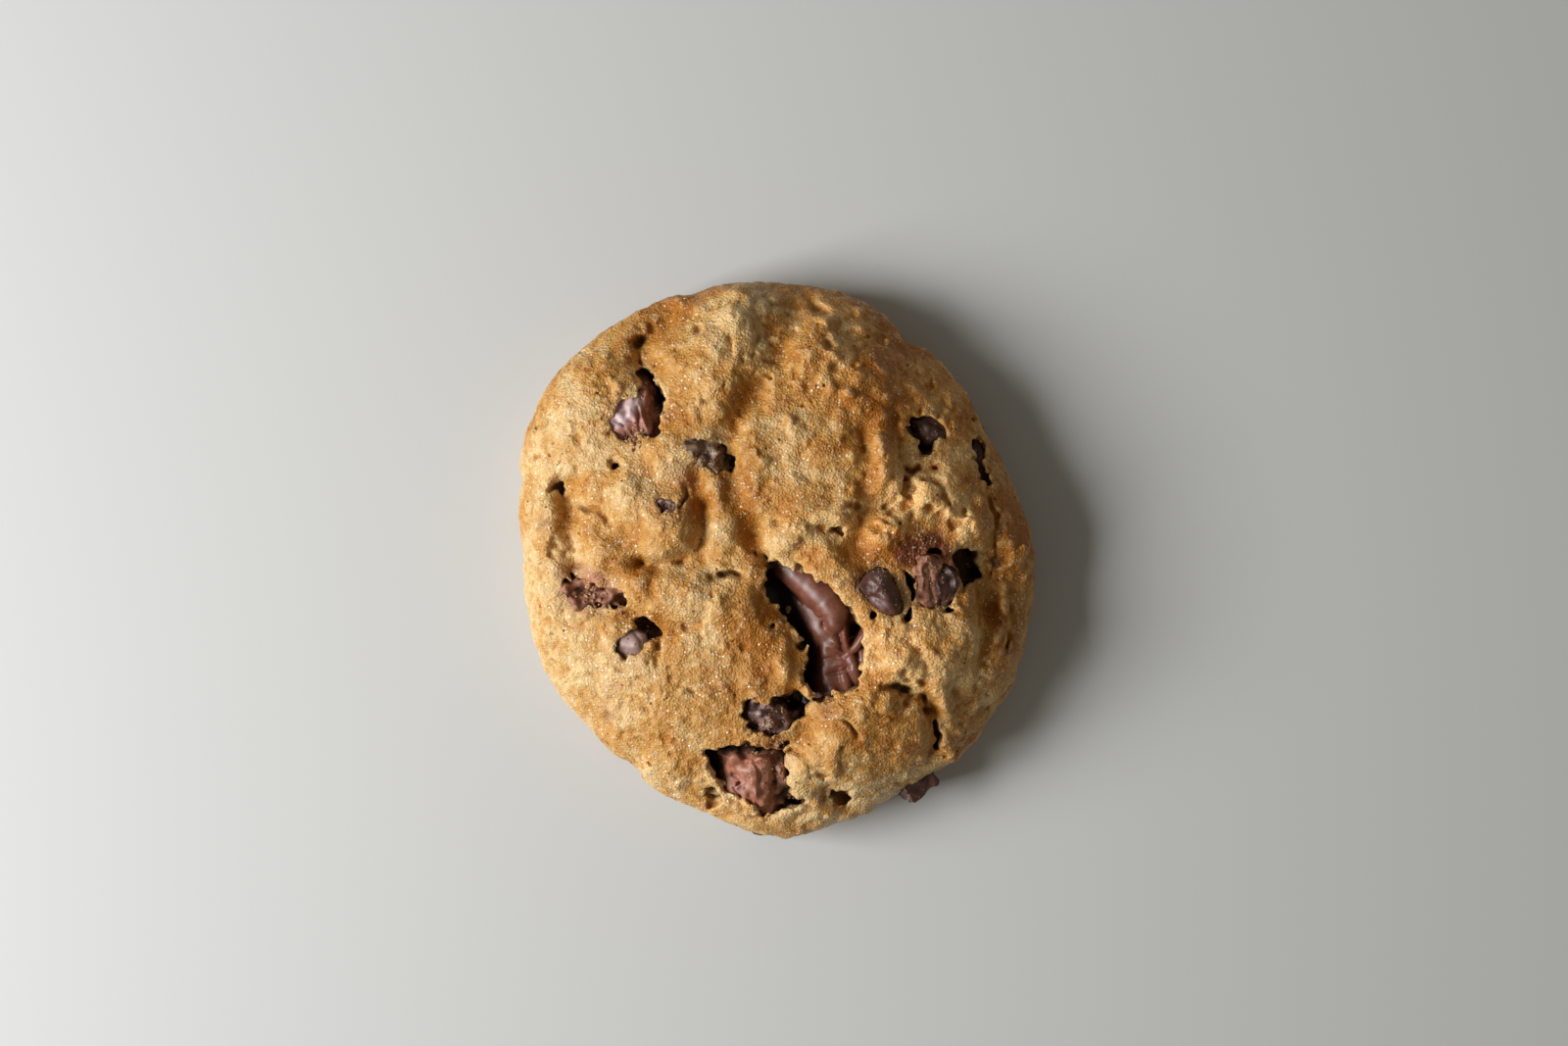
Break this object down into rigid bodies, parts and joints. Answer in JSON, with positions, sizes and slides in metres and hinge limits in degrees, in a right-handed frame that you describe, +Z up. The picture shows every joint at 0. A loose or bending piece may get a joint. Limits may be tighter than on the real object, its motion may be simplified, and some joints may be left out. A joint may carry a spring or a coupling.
{
  "type": "chocolate chip cookie",
  "caption": "Thick domed bakery cookie with a lumpy cracked top, flat underside and chocolate chunks and chips set in sockets of the baked dough.",
  "frame": {"origin": "centre of the flat underside", "axes": "+Z up from the underside through the dome, +Y along the cookie's longer way, +X across it"},
  "size_m": [0.0842, 0.0906, 0.0256],
  "materials": {
    "baked_dough": "matte, open crumb, golden brown with darker orange-brown lumps and paler cracks",
    "melted_chocolate": "glossy, soft melted chocolate",
    "milk_chocolate": "matte to satin, reddish-brown broken chocolate",
    "dark_chocolate": "satin, dark chocolate with dusty specks"
  },
  "bodies": {
    "root": {"dough": "baked_dough", "chunk_centre": "melted_chocolate", "chunk_bottom": "milk_chocolate", "chunk_upper_left": "milk_chocolate", "chunk_left": "milk_chocolate", "chunk_right": "milk_chocolate", "chunk_rim": "dark_chocolate", "chunk_foot": "dark_chocolate", "chip_kiss": "dark_chocolate", "chip_right": "dark_chocolate", "chip_centre_low": "dark_chocolate", "chip_left_low": "dark_chocolate", "chip_top": "dark_chocolate", "chip_nose": "dark_chocolate", "chip_upper_right": "dark_chocolate", "chip_right_rim": "dark_chocolate"}
  },
  "joints": []
}
